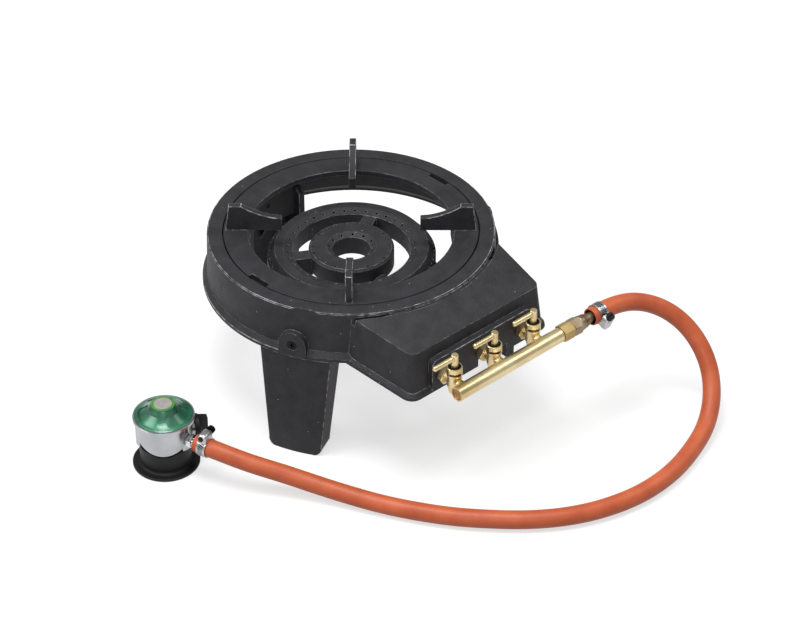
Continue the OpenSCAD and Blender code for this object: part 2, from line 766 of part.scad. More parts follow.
module valve_plug(i) color(brass) at_valve(i) difference() {
    union() {
        plug_cone(0, 0);
        translate([0, 0, cup_z - fuse]) cylinder(r = plug_r1 - face_gap, h = head_z - cup_z + 2 * fuse);
        translate([0, 0, head_z]) cylinder(r = head_r, h = head_h);
        translate([0, 0, head_z + head_h - head_flange_t]) cylinder(r = head_flange_r, h = head_flange_t);
        rotate_extrude() polygon([[0, head_z], [post_r, head_z], [post_r, post_z - 0.5],
                                  [post_r - 0.5, post_z], [0, post_z]]);
    }
    translate([-cup_r, 0, gas_z]) rotate([0, 90, 0]) cylinder(d = gas_way_d, h = 2 * cup_r);
    translate([lever_in + run_gap, 0, lever_z]) rotate([0, -90, 0])
        cylinder(d = lever_d + 2 * run_gap, h = 2 * post_r);
    translate([-stop_in_r + run_gap, 0, stop_z]) rotate([0, -90, 0])
        cylinder(d = stop_d + 2 * run_gap, h = cup_r, $fn = 32);
}

module valve_lever(i) color(brass) at_valve(i) translate([lever_in, 0, lever_z]) rotate([0, -90, 0])
    rotate_extrude() difference() {
        union() {
            square([lever_d / 2, lever_l + lever_in - lever_d / 2]);
            translate([0, lever_l + lever_in - lever_d / 2]) circle(lever_d / 2);
        }
        translate([-lever_d, 0]) square([lever_d, lever_l + 2 * lever_d]);
    }

module valve_stop_pin(i) color(brass) at_valve(i) translate([-stop_in_r, 0, stop_z]) rotate([0, -90, 0])
    cylinder(d = stop_d, h = stop_out_r - stop_in_r, $fn = 32);

module valve_spring(i) color(steel) at_valve(i) translate([0, 0, coil_z])
    wire(helix(coil_r, coil_pitch, coil_turns, 12), coil_wire / 2, 6);

module valve_retainer(i) color(plastic) at_valve(i) translate([0, 0, retainer_z]) difference() {
    cylinder(r = cup_r - run_gap, h = retainer_t);
    translate([0, 0, -1]) cylinder(r = post_r + face_gap, h = retainer_t + 2);
}

module valve_lock_nut(i) color(brass) at_valve(i) difference() {
    gas_axis(lock_nut_y - lock_nut_t) hex_bar(lock_nut_af, lock_nut_t, 0.8);
    gas_axis(0) cylinder(r = stub_d / 2 + run_gap, h = valve_reach);
}

// Injector, screwed over the end of the valve's stub inside the box
module valve_injector(i) color(brass) at_valve(i) difference() {
    union() {
        gas_axis(injector_y) hex_bar(injector_af, injector_hex_l, 0.6);
        gas_axis(injector_y + injector_hex_l - fuse)
            cylinder(r1 = 4.4, r2 = 2.6, h = injector_l - injector_hex_l);
    }
    gas_axis(injector_y - 1) cylinder(r = stub_d / 2 + run_gap, h = stub_end - injector_y + 1 + face_gap);
    gas_axis(injector_y) cylinder(d = jet_d, h = injector_l + 1, $fn = 24);
}

// Manifold and hose nipple

module along_manifold(x) translate([x, ring_y - manifold_reach, gas_z]) rotate([0, 90, 0]) children();

module manifold_tube() color(brass) difference() {
    union() {
        along_manifold(manifold_x0) cylinder(d = manifold_d, h = manifold_x1 - manifold_x0);
        along_manifold(manifold_x1 - fuse) cylinder(r = thread_r, h = thread_l);
    }
    along_manifold(manifold_x0 - 1) cylinder(r = manifold_bore_r, h = manifold_x1 - manifold_x0 - 4);
    along_manifold(manifold_x1 - 6) cylinder(r = thread_bore_r, h = thread_l + 8);
    for (i = [0:2]) at_valve(i) gas_axis(-manifold_gap) cylinder(r = spigot_r + run_gap, h = manifold_d);
}

module manifold_end_plug() color(copper) along_manifold(manifold_x0 + end_recess)
    cylinder(r = manifold_bore_r - run_gap, h = end_plug_l);

module manifold_nut() color(brass) along_manifold(nut_x) difference() {
    hex_bar(nut_af, nut_l, nut_chamfer);
    translate([0, 0, -1]) cylinder(r = thread_r + run_gap, h = nut_l + 2);
}

module barbs(r, length) rotate_extrude() for (k = [0:barb_count - 1])
    translate([0, length - (k + 1) * barb_pitch])
        polygon([[0, 0], [r, 0], [r, 1.5], [r - 0.8, barb_pitch], [0, barb_pitch]]);

module hose_nipple() color(bronze) along_manifold(nipple_x) difference() {
    union() {
        translate([0, 0, -nipple_thread_l]) cylinder(r = thread_r, h = nipple_thread_l + fuse);
        hex_bar(nut_af, nipple_hex_l, nut_chamfer);
        translate([0, 0, nipple_hex_l - fuse]) rotate_extrude() polygon([
            [0, 0], [nut_af / 2 - 0.4, 0], [nut_af / 2, 1], [nut_af / 2 - 0.6, 5.4], [nut_af / 2 - 1.2, 5.4],
            [nut_af / 2 - 1.2, 6.2], [nut_af / 2 - 0.7, 6.2],
            [nut_af / 2 - 1.2, nipple_collar_l], [0, nipple_collar_l]]);
        translate([0, 0, nipple_hex_l + nipple_collar_l - 2 * fuse]) {
            cylinder(r = barb_r, h = nipple_shank_l + 4);
            translate([0, 0, nipple_shank_l]) barbs(barb_r, barb_count * barb_pitch);
        }
    }
    translate([0, 0, -nipple_thread_l - 1]) cylinder(r = nipple_bore_r, h = 80);
}

// Hose and its clips

module hose() color(rubber)
    hollow_wire(spline(hose_route, hose_rings_per_span), hose_r, hose_bore / 2, hose_sides);

// Clip round a hose along X, with its screw housing on top
module clip_band() color(steel) difference() {
    union() {
        translate([-band_w / 2, 0, 0]) rotate([0, 90, 0]) cylinder(r = band_r + band_t, h = band_w);
        intersection() {
            union() {
                translate([0, worm_housing_l / 2, worm_axis_r]) rotate([90, 0, 0])
                    cylinder(d = worm_housing_w, h = worm_housing_l);
                translate([-worm_housing_w / 2, -worm_housing_l / 2, band_r])
                    cube([worm_housing_w, worm_housing_l, worm_axis_r - band_r]);
            }
            translate([-worm_housing_w / 2, -worm_housing_l / 2, band_r - 2])
                cube([worm_housing_w, worm_housing_l, worm_axis_r - band_r + 5.6]);
        }
    }
    translate([-worm_housing_w, 0, 0]) rotate([0, 90, 0]) cylinder(r = band_r, h = 2 * worm_housing_w);
    translate([0, worm_l, worm_axis_r]) rotate([90, 0, 0])
        cylinder(d = worm_d + 2 * face_gap, h = 2 * worm_l);
}

module clip_screw() color(steel) difference() {
    union() {
        translate([0, worm_l / 2, worm_axis_r]) rotate([90, 0, 0]) cylinder(d = worm_d, h = worm_l);
        translate([0, worm_l / 2 - fuse, worm_axis_r]) rotate([-90, 0, 0])
            hex_bar(worm_head_af, worm_head_l, 0.6);
    }
    translate([-worm_head_af, worm_l / 2 + worm_head_l - 1.4, worm_axis_r - worm_slot_w / 2])
        cube([2 * worm_head_af, 2, worm_slot_w]);
}

module at_clip_burner()
    translate(hose_route[0] + [clip_from_end, 0, 0]) rotate([clip_burner_turn, 0, 0]) children();

module at_clip_regulator() translate([regulator_at[0], regulator_at[1], outlet_z]) rotate(outlet_angle)
    translate([outlet_reach + clip_from_end, 0, 0]) children();

module clip_burner_band() at_clip_burner() clip_band();
module clip_burner_screw() at_clip_burner() clip_screw();
module clip_regulator_band() at_clip_regulator() clip_band();
module clip_regulator_screw() at_clip_regulator() clip_screw();

// Regulator

module at_regulator() translate([regulator_at[0], regulator_at[1], 0]) children();

// Shape along a radius of the regulator, from a distance out from its axis
module out_from(angle, r, z) rotate(angle) translate([r, 0, z]) rotate([0, 90, 0]) children();

// Everything above an arched line that is lowest at the front and the back
module arch(z) rotate(front_angle) translate([-rim_r - 1, 0, z + skirt_arch_r]) rotate([0, 90, 0])
    cylinder(r = skirt_arch_r, h = 2 * rim_r + 2);

module regulator_body() color(zinc) at_regulator() difference() {
    union() {
        intersection() {
            cylinder(r = case_r, h = rim_z - 3);
            arch(skirt_z);
        }
        for (a = lobe_angles) rotate(a) translate([lobe_at_r, 0, skirt_z])
            cylinder(r = lobe_r, h = rim_z - skirt_z - 3);
        out_from(switch_angle, 0, switch_z) cylinder(r = 9, h = case_r + 0.9);
        rotate_extrude() polygon([
            [0, pocket_z], [case_r - 2, pocket_z], [case_r - 2, rim_z - 6], [case_r, rim_z - 5],
                                  [rim_r - 0.6, rim_z - 4], [rim_r, rim_z - 3.4], [rim_r, rim_z - 0.5],
                                  [rim_r - 0.5, rim_z], [0, rim_z]]);
        translate([0, 0, spigot_base]) cylinder(r = case_spigot_r, h = pocket_z - spigot_base + fuse);
    }
    translate([0, 0, cap_z - diaphragm_t]) cylinder(r = diaphragm_r + run_gap, h = 5);
    translate([0, 0, chamber_z]) cylinder(r = chamber_r, h = 20);
    difference() {
        cylinder(r = skirt_in_r, h = pocket_z);
        cylinder(r = case_spigot_r, h = pocket_z);
    }
    cylinder(d = socket_d, h = spigot_base + socket_depth);
    cylinder(r = seal_seat_r, h = spigot_base + socket_depth + seal_t + face_gap);
    cylinder(r = 2.5, h = rim_z);
    out_from(outlet_angle, nozzle_in, outlet_z) cylinder(r = nozzle_shank_r + run_gap, h = rim_r);
    out_from(switch_angle, switch_shaft_in - 1, switch_z) cylinder(r = switch_shaft_r + run_gap, h = rim_r);
}

module cap_section(drop) {
    base_r = cap_r - 1.2;
    polygon(concat([[0, -drop], [cap_r, -drop], [cap_r, 1], [base_r, 1.6]],
                   [for (k = [1:7]) let (t = k / 8) [base_r + (cap_top_r - base_r) * t,
                                                    1.6 + (cap_h - 2.6) * t - cap_dish * sin(180 * t)]],
                   [[cap_top_r, cap_h - 1], [cap_top_r - 0.8, cap_h], [0, cap_h]]));
}

// Top view of a pocket in the cap: a sector with round corners, so that the ribs between widen at both ends
module pocket_outline() {
    c = pocket_corner;
    r0 = cap_top_r + 1.6;
    r1 = cap_r - 3.4;
    half = pocket_span / 2;
    w0 = c / (r0 + c) * 180 / PI;
    w1 = c / (r1 - c) * 180 / PI;
    polygon(concat(
        [for (a = [-90:15:-15]) polar(r1 - c + c * cos(a), w1 - half + w1 * sin(a))],
        [for (k = [0:8]) polar(r1, (half - w1) * (k / 4 - 1))],
        [for (a = [15:15:90]) polar(r1 - c + c * cos(a), half - w1 + w1 * sin(a))],
        [for (a = [90:15:165]) polar(r0 + c + c * cos(a), half - w0 + w0 * sin(a))],
        [for (k = [0:8]) polar(r0, (half - w0) * (1 - k / 4))],
        [for (a = [195:15:270]) polar(r0 + c + c * cos(a), w0 - half + w0 * sin(a))]));
}

module regulator_cap() color(lacquer) at_regulator() translate([0, 0, cap_z]) difference() {
    rotate_extrude() cap_section(0);
    translate([0, 0, -cap_wall]) rotate_extrude() intersection() {
        cap_section(1);
        square([cap_r - cap_wall, cap_h]);
    }
    intersection() {
        rotate_extrude() polygon([
            [cap_r - 3.4, 2.1], [cap_r - 4.2, 1.5],
            [cap_top_r + 2.4, cap_h - 5.4], [cap_top_r + 1.6, cap_h - 2],
            [cap_top_r + 2, cap_h], [cap_r - 3.4, cap_h]]);
        for (k = [0:pocket_count - 1]) rotate(front_angle + 360 / pocket_count * (k + 0.5))
            linear_extrude(cap_h) pocket_outline();
    }
}

module regulator_label() color("#a8a8a4") at_regulator()
    translate([0, 0, cap_z + cap_h]) cylinder(r = label_r, h = label_t);

module regulator_nozzle() color(steel) at_regulator() difference() {
    shank_end = outlet_reach - case_r - 0.9;
    union() {
        out_from(outlet_angle, nozzle_in, outlet_z)
            cylinder(r = nozzle_shank_r, h = outlet_reach - nozzle_in);
        out_from(outlet_angle, case_r + 0.9 + face_gap, outlet_z)
            hex_bar(2 * nozzle_flange_r * cos(30), shank_end - 3, 0.6);
        out_from(outlet_angle, outlet_reach - 2, outlet_z) cylinder(r = barb_r, h = 3);
        out_from(outlet_angle, outlet_reach, outlet_z) barbs(barb_r, barb_count * barb_pitch);
    }
    out_from(outlet_angle, nozzle_in - 1, outlet_z) cylinder(r = nipple_bore_r, h = 80);
}

module regulator_seal() color(plastic) at_regulator() translate([0, 0, spigot_base + socket_depth + face_gap])
    rotate_extrude() translate([seal_bore_r, 0])
        square([seal_seat_r - seal_bore_r - run_gap, seal_t - face_gap]);

module regulator_diaphragm() color(plastic) at_regulator() translate([0, 0, cap_z - diaphragm_t])
    cylinder(r = diaphragm_r, h = diaphragm_t);

module regulator_spring() color(steel) at_regulator() translate([0, 0, reg_coil_z])
    wire(helix(reg_coil_r, reg_coil_pitch, reg_coil_turns, 16), reg_coil_wire / 2, 6);

module regulator_switch() color(plastic) at_regulator() {
    out_from(switch_angle, switch_shaft_in, switch_z)
        cylinder(r = switch_shaft_r, h = switch_face_r - switch_shaft_in + 1);
    out_from(switch_angle, switch_face_r, switch_z) {
        rotate_extrude() polygon([[0, 0], [switch_d / 2, 0], [switch_d / 2, switch_t - 1.5],
                                  [switch_d / 2 - 1.5, switch_t], [0, switch_t]]);
        intersection() {
            translate([-switch_d / 2, -wing_t / 2, 0]) cube([switch_d, wing_t, switch_t + wing_h]);
            cylinder(d1 = switch_d + 2, d2 = switch_d - 4, h = switch_t + wing_h);
        }
    }
}

module locking_ring() color(plastic) at_regulator() difference() {
    union() {
        rotate_extrude() polygon(concat(
            [[0, 0], [flange_d / 2 - 0.6, 0], [flange_d / 2, 0.6], [flange_d / 2, flange_t - 0.6],
             [flange_d / 2 - 0.6, flange_t]],
            [for (a = [90:-15:0])
                [waist_r + flange_curve * (1 - cos(a)), flange_t + flange_curve * (1 - sin(a))]],
            [[lock_r, lock_collar_z - 6], [0, lock_collar_z - 6]]));
        difference() {
            translate([0, 0, lock_collar_z - 6]) cylinder(r = lock_r, h = lock_neck_z - lock_collar_z + 6);
            arch(lock_collar_z);
        }
        translate([0, 0, lock_collar_z - 6]) cylinder(r = neck_r, h = lock_neck_z - lock_collar_z + 6);
    }
    translate([0, 0, -1]) cylinder(r = lock_in_r, h = pocket_z);
}

// Fittings for each of the three valves, from left to right
module valve_left_body() valve_body(0);
module valve_left_plug() valve_plug(0);
module valve_left_lever() valve_lever(0);
module valve_left_stop_pin() valve_stop_pin(0);
module valve_left_spring() valve_spring(0);
module valve_left_retainer() valve_retainer(0);
module valve_left_lock_nut() valve_lock_nut(0);
module valve_left_injector() valve_injector(0);
module valve_middle_body() valve_body(1);
module valve_middle_plug() valve_plug(1);
module valve_middle_lever() valve_lever(1);
module valve_middle_stop_pin() valve_stop_pin(1);
module valve_middle_spring() valve_spring(1);
module valve_middle_retainer() valve_retainer(1);
module valve_middle_lock_nut() valve_lock_nut(1);
module valve_middle_injector() valve_injector(1);
module valve_right_body() valve_body(2);
module valve_right_plug() valve_plug(2);
module valve_right_lever() valve_lever(2);
module valve_right_stop_pin() valve_stop_pin(2);
module valve_right_spring() valve_spring(2);
module valve_right_retainer() valve_retainer(2);
module valve_right_lock_nut() valve_lock_nut(2);
module valve_right_injector() valve_injector(2);

echo("least gap of a valve spring", least_gap(helix(coil_r, coil_pitch, coil_turns, 12), coil_wire, 8));
echo("least gap of the regulator spring",
     least_gap(helix(reg_coil_r, reg_coil_pitch, reg_coil_turns, 16), reg_coil_wire, 10));

housing();
burner_head();
pan_support();
leg_front_left();
leg_front_right();
leg_rear();
leg_screws();
manifold_tube();
manifold_end_plug();
manifold_nut();
hose_nipple();
valve_left_body();
valve_left_plug();
valve_left_lever();
valve_left_stop_pin();
valve_left_spring();
valve_left_retainer();
valve_left_lock_nut();
valve_left_injector();
valve_middle_body();
valve_middle_plug();
valve_middle_lever();
valve_middle_stop_pin();
valve_middle_spring();
valve_middle_retainer();
valve_middle_lock_nut();
valve_middle_injector();
valve_right_body();
valve_right_plug();
valve_right_lever();
valve_right_stop_pin();
valve_right_spring();
valve_right_retainer();
valve_right_lock_nut();
valve_right_injector();
hose();
clip_burner_band();
clip_burner_screw();
clip_regulator_band();
clip_regulator_screw();
regulator_body();
regulator_cap();
regulator_label();
regulator_nozzle();
regulator_seal();
regulator_diaphragm();
regulator_spring();
regulator_switch();
locking_ring();
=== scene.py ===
import json
import math

import bmesh
import bpy
from mathutils import Matrix, Vector

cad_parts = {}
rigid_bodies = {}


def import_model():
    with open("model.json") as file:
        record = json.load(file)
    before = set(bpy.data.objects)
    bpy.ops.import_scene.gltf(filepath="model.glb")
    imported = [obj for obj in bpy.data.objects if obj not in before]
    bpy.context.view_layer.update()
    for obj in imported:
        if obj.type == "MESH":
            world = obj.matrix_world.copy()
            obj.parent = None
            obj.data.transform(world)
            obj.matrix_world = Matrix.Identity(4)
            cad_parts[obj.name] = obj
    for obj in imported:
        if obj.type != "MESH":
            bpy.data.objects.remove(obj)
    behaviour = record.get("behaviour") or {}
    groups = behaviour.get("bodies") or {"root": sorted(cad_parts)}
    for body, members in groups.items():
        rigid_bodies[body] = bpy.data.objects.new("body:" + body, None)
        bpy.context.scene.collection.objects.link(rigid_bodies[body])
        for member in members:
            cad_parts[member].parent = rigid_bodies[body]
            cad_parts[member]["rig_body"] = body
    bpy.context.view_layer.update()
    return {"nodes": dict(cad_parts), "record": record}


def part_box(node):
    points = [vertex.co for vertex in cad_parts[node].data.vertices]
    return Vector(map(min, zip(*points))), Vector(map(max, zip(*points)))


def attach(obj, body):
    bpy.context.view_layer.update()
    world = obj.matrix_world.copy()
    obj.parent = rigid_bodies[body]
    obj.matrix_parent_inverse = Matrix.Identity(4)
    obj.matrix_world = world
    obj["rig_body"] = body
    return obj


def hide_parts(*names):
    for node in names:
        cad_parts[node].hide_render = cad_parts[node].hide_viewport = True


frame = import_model()
nodes = frame["nodes"]
slotOf = {part["node"]: part["material_slot"] for part in frame["record"]["subparts"]}
bodyOf = {name: node["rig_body"] for name, node in nodes.items()}
print("frame loaded:", len(nodes), "nodes")

scene = bpy.context.scene
scene.view_settings.view_transform = "Standard"
mm = 0.001
ringAxis = (0, 36 * mm, 0)  # where the ring's upright axis meets the floor
mixA, mixB, mixOut = 6, 7, 2  # a Mix node's sockets for colour


def hexLinear(code):  # sRGB hex to linear colour
    parts = [int(code[i : i + 2], 16) / 255 for i in (1, 3, 5)]
    return [p / 12.92 if p <= 0.04045 else ((p + 0.055) / 1.055) ** 2.4 for p in parts] + [1]


def addNode(tree, kind, inputs=None, **settings):  # a node with its settings, values and links
    node = tree.nodes.new(kind)
    for name, value in settings.items():
        setattr(node, name, value)
    for name, value in (inputs or {}).items():
        if isinstance(value, bpy.types.NodeSocket):
            tree.links.new(value, node.inputs[name])
        else:
            node.inputs[name].default_value = value
    return node


def newMaterial(name):
    mat = bpy.data.materials.new(name)
    mat.use_nodes = True
    tree = mat.node_tree
    shader = tree.nodes["Principled BSDF"]
    coords = addNode(tree, "ShaderNodeTexCoord").outputs["Object"]
    return mat, tree, shader, coords


def perMm(size):  # texture scale that gives features of this many millimetres
    return 1000 / size


# Sand-cast iron under satin black stove paint: fine grit and slow waves from the mould, a pale line along
# the edges that is partly paint rubbed thin and partly painted highlight, and a few pale specks where it is
# chipped.
# The grit is drawn coarser than moulding sand, so that it shows
castIron = {
    # the pale edge colour below stands for rubbed paint and a painted highlight along the edges
    "paint": "#1c1c1f", "thin": "#2e2e32", "rubbedAndLit": "#a0a0a4", "speck": "#b4b3b3",
    "gritMm": 1.3, "waveMm": 14, "patchMm": 6, "speckMm": 6, "rough": (0.5, 0.68), "ior": 1.4,
    "thinning": (0.12, 0.4), "patchy": (0.4, 0.66), "leastRubAndLit": 0.08,
    "edgeMm": 0.9, "edgeBend": (0.985, 0.88),  # cosine of the turn that counts as an edge
    "speckSize": 0.08, "speckCore": 0.6, "wholeCells": 0.86,
    "waveBump": 0.35, "waveDeep": 1.2 * mm, "gritBump": 0.8, "gritDeep": 0.5 * mm,
    "seatRadius": 119.5 * mm, "seatHalf": 2.5 * mm, "seatTop": 160.5 * mm,
}


def makeCastIron(name, spec):
    mat, tree, shader, coords = newMaterial(name)
    grit = addNode(tree, "ShaderNodeTexNoise", {
        "Vector": coords, "Scale": perMm(spec["gritMm"]), "Detail": 3, "Roughness": 0.6})
    wave = addNode(tree, "ShaderNodeTexNoise", {
        "Vector": coords, "Scale": perMm(spec["waveMm"]), "Detail": 3})
    patch = addNode(tree, "ShaderNodeTexNoise", {
        "Vector": coords, "Scale": perMm(spec["patchMm"]), "Detail": 4})
    cells = addNode(tree, "ShaderNodeTexVoronoi", {"Vector": coords, "Scale": perMm(spec["speckMm"])})
    tone = addNode(tree, "ShaderNodeMath", {
        0: wave.outputs["Fac"], 1: grit.outputs["Fac"]}, operation="MULTIPLY")
    thin = addNode(tree, "ShaderNodeMapRange", {
        "Value": tone.outputs["Value"], "From Min": spec["thinning"][0], "From Max": spec["thinning"][1]})
    paint = addNode(tree, "ShaderNodeMix", {
        "Factor": thin.outputs["Result"],
        mixA: hexLinear(spec["paint"]), mixB: hexLinear(spec["thin"])}, data_type="RGBA")
    # rounded faces of the softened castings, and edges found by the bevel look-up: both get the pale edge
    # colour, partly rubbed paint and partly painted highlight
    roundFace = addNode(tree, "ShaderNodeAttribute", attribute_name="rubbedAndLit")
    softEdge = addNode(tree, "ShaderNodeBevel", {"Radius": spec["edgeMm"] * mm}, samples=4)
    geometry = addNode(tree, "ShaderNodeNewGeometry")
    bend = addNode(tree, "ShaderNodeVectorMath", {
        0: softEdge.outputs["Normal"], 1: geometry.outputs["Normal"]}, operation="DOT_PRODUCT")
    edge = addNode(tree, "ShaderNodeMapRange", {
        "Value": bend.outputs["Value"], "From Min": spec["edgeBend"][0], "From Max": spec["edgeBend"][1]})
    either = addNode(tree, "ShaderNodeMath", {
        0: roundFace.outputs["Fac"], 1: edge.outputs["Result"]}, operation="MAXIMUM")
    # the seat of the loose support never gets the rubbed paint and painted highlight
    offAxis = addNode(tree, "ShaderNodeVectorMath", {0: coords, 1: ringAxis}, operation="SUBTRACT")
    level = addNode(tree, "ShaderNodeVectorMath", {
        0: offAxis.outputs["Vector"], 1: (1, 1, 0)}, operation="MULTIPLY")
    radius = addNode(tree, "ShaderNodeVectorMath", {0: level.outputs["Vector"]}, operation="LENGTH")
    nearSeat = addNode(tree, "ShaderNodeMath", {
        0: radius.outputs["Value"], 1: spec["seatRadius"], 2: spec["seatHalf"]}, operation="COMPARE")
    height = addNode(tree, "ShaderNodeSeparateXYZ", {"Vector": coords})
    low = addNode(tree, "ShaderNodeMath", {
        0: height.outputs["Z"], 1: spec["seatTop"]}, operation="LESS_THAN")
    seat = addNode(tree, "ShaderNodeMath", {
        0: nearSeat.outputs["Value"], 1: low.outputs["Value"]}, operation="MULTIPLY")
    exposed = addNode(tree, "ShaderNodeMath", {
        0: either.outputs["Value"], 1: seat.outputs["Value"]}, operation="SUBTRACT", use_clamp=True)
    patchy = addNode(tree, "ShaderNodeMapRange", {
        "Value": patch.outputs["Fac"], "From Min": spec["patchy"][0], "From Max": spec["patchy"][1],
        "To Min": spec["leastRubAndLit"], "To Max": 1})
    rubbedAndLit = addNode(tree, "ShaderNodeMath", {
        0: exposed.outputs["Value"], 1: patchy.outputs["Result"]}, operation="MULTIPLY")
    # pale edges: paint rubbed thin, and a painted highlight along the edges
    wornAndLit = addNode(tree, "ShaderNodeMix", {
        "Factor": rubbedAndLit.outputs["Value"],
        mixA: paint.outputs[mixOut], mixB: hexLinear(spec["rubbedAndLit"])}, data_type="RGBA")
    # about one cell in seven holds a chip
    chosen = addNode(tree, "ShaderNodeSeparateColor", {"Color": cells.outputs["Color"]})
    few = addNode(tree, "ShaderNodeMath", {
        0: chosen.outputs["Red"], 1: spec["wholeCells"]}, operation="GREATER_THAN")
    dot = addNode(tree, "ShaderNodeMapRange", {
        "Value": cells.outputs["Distance"],
        "From Min": spec["speckSize"], "From Max": spec["speckSize"] * spec["speckCore"]})
    chip = addNode(tree, "ShaderNodeMath", {
        0: few.outputs["Value"], 1: dot.outputs["Result"]}, operation="MULTIPLY")
    colour = addNode(tree, "ShaderNodeMix", {
        "Factor": chip.outputs["Value"],
        mixA: wornAndLit.outputs[mixOut], mixB: hexLinear(spec["speck"])}, data_type="RGBA")
    rough = addNode(tree, "ShaderNodeMapRange", {
        "Value": grit.outputs["Fac"], "To Min": spec["rough"][0], "To Max": spec["rough"][1]})
    waves = addNode(tree, "ShaderNodeBump", {
        "Height": wave.outputs["Fac"], "Strength": spec["waveBump"], "Distance": spec["waveDeep"],
        "Normal": softEdge.outputs["Normal"]})
    bump = addNode(tree, "ShaderNodeBump", {
        "Height": grit.outputs["Fac"], "Strength": spec["gritBump"], "Distance": spec["gritDeep"],
        "Normal": waves.outputs["Normal"]})
    tree.links.new(colour.outputs[mixOut], shader.inputs["Base Color"])
    tree.links.new(rough.outputs["Result"], shader.inputs["Roughness"])
    tree.links.new(bump.outputs["Normal"], shader.inputs["Normal"])
    shader.inputs["IOR"].default_value = spec["ior"]
    return mat


# Metals: faint smears in the colour, and a grain in the roughness that is drawn coarser than
# real tool lines, so that it shows
metalSkin = {"smear": (0.32, 0.62), "uneven": (0.12, 0.4), "bump": 0.06, "bumpDeep": 0.1 * mm}
metals = {
    # bare off the lathe: pale gold with long soft lights
    "turned brass": {
        "light": "#e8d7ab", "dark": "#cdb887", "patchMm": 26, "grainMm": 0.9, "rough": (0.32, 0.42)},
    # painted shade: a darker, deeper yellow copy of the brass with dull faces, so that the nut's flats catch
    # less light
    "shaded brass": {
        "light": "#c4ad78", "dark": "#a68e5a", "patchMm": 14, "grainMm": 0.9, "rough": (0.5, 0.62)},
    # bare and gone dull in the air: brownish grey without sharp lights
    "dull bronze": {
        "light": "#a5947b", "dark": "#87765f", "patchMm": 12, "grainMm": 0.8, "rough": (0.42, 0.56)},
    # heated and stained by flux: blotchy reddish brown
    "soldered copper": {
        "light": "#b8966b", "dark": "#94744e", "patchMm": 5, "grainMm": 0.8, "rough": (0.42, 0.55)},
    # pressed and plated: light grey with bright creases
    "zinc-plated steel": {
        "light": "#c8c9ca", "dark": "#a9abae", "patchMm": 9, "grainMm": 0.7, "rough": (0.3, 0.42)},
    # die-cast and tumbled: even silver grey that mirrors its surroundings softly
    "satin zinc casting": {
        "light": "#b6b8bb", "dark": "#a6a8ac", "patchMm": 16, "grainMm": 0.8, "rough": (0.26, 0.36)},
    # polished plating: nearly a mirror
    "bright chrome": {
        "light": "#dcdcdf", "dark": "#c6c7ca", "patchMm": 8, "grainMm": 0.8, "rough": (0.08, 0.16)},
    # black oxide and oil: nearly black with small lights
    "blackened steel": {
        "light": "#2c2c2e", "dark": "#18181a", "patchMm": 4, "grainMm": 0.8, "rough": (0.3, 0.45)},
}


def makeMetal(name, spec):
    mat, tree, shader, coords = newMaterial(name)
    patch = addNode(tree, "ShaderNodeTexNoise", {
        "Vector": coords, "Scale": perMm(spec["patchMm"]), "Detail": 4})
    grain = addNode(tree, "ShaderNodeTexNoise", {
        "Vector": coords, "Scale": perMm(spec["grainMm"]), "Detail": 2})
    smear = addNode(tree, "ShaderNodeMapRange", {
        "Value": patch.outputs["Fac"], "From Min": metalSkin["smear"][0], "From Max": metalSkin["smear"][1]})
    colour = addNode(tree, "ShaderNodeMix", {
        "Factor": smear.outputs["Result"],
        mixA: hexLinear(spec["dark"]), mixB: hexLinear(spec["light"])}, data_type="RGBA")
    mixed = addNode(tree, "ShaderNodeMath", {
        0: patch.outputs["Fac"], 1: grain.outputs["Fac"]}, operation="MULTIPLY")
    rough = addNode(tree, "ShaderNodeMapRange", {
        "Value": mixed.outputs["Value"],
        "From Min": metalSkin["uneven"][0], "From Max": metalSkin["uneven"][1],
        "To Min": spec["rough"][0], "To Max": spec["rough"][1]})
    bump = addNode(tree, "ShaderNodeBump", {
        "Height": grain.outputs["Fac"], "Strength": metalSkin["bump"], "Distance": metalSkin["bumpDeep"]})
    tree.links.new(colour.outputs[mixOut], shader.inputs["Base Color"])
    tree.links.new(rough.outputs["Result"], shader.inputs["Roughness"])
    tree.links.new(bump.outputs["Normal"], shader.inputs["Normal"])
    shader.inputs["Metallic"].default_value = 1
    return mat


# Coatings and mouldings that aren't metal: soft mottling, and a skin drawn coarse enough to show
coatingSkin = {"mottle": (0.3, 0.68), "bumpDeep": 0.15 * mm}
coatings = {
    # extruded: even orange with one broad soft light along it
    "orange hose rubber": {
        "light": "#c45f36", "dark": "#b04d28", "patchMm": 22, "skinMm": 1.4, "rough": (0.42, 0.56),
        "bump": 0.25, "ior": 1.5},
    # from a finely textured mould: deep black with a faint light
    "moulded black plastic": {
        "light": "#161618", "dark": "#0e0e10", "patchMm": 16, "skinMm": 0.9, "rough": (0.46, 0.58),
        "bump": 0.2, "ior": 1.36},
    # moulded and matt: black without lights
    "black rubber": {
        "light": "#1b1b1d", "dark": "#111113", "patchMm": 9, "skinMm": 0.9, "rough": (0.55, 0.7),
        "bump": 0.2, "ior": 1.4},
    # smooth film: flat warm grey
    "printed grey film": {
        "light": "#9f9b97", "dark": "#8b8783", "patchMm": 5, "skinMm": 0.8, "rough": (0.4, 0.5),
        "bump": 0.05, "ior": 1.5},
    # smooth film: leaf green that stands out from the lacquer
    "printed green film": {
        "light": "#4f8a3f", "dark": "#3f7532", "patchMm": 5, "skinMm": 0.8, "rough": (0.35, 0.45),
        "bump": 0.05, "ior": 1.5},
}


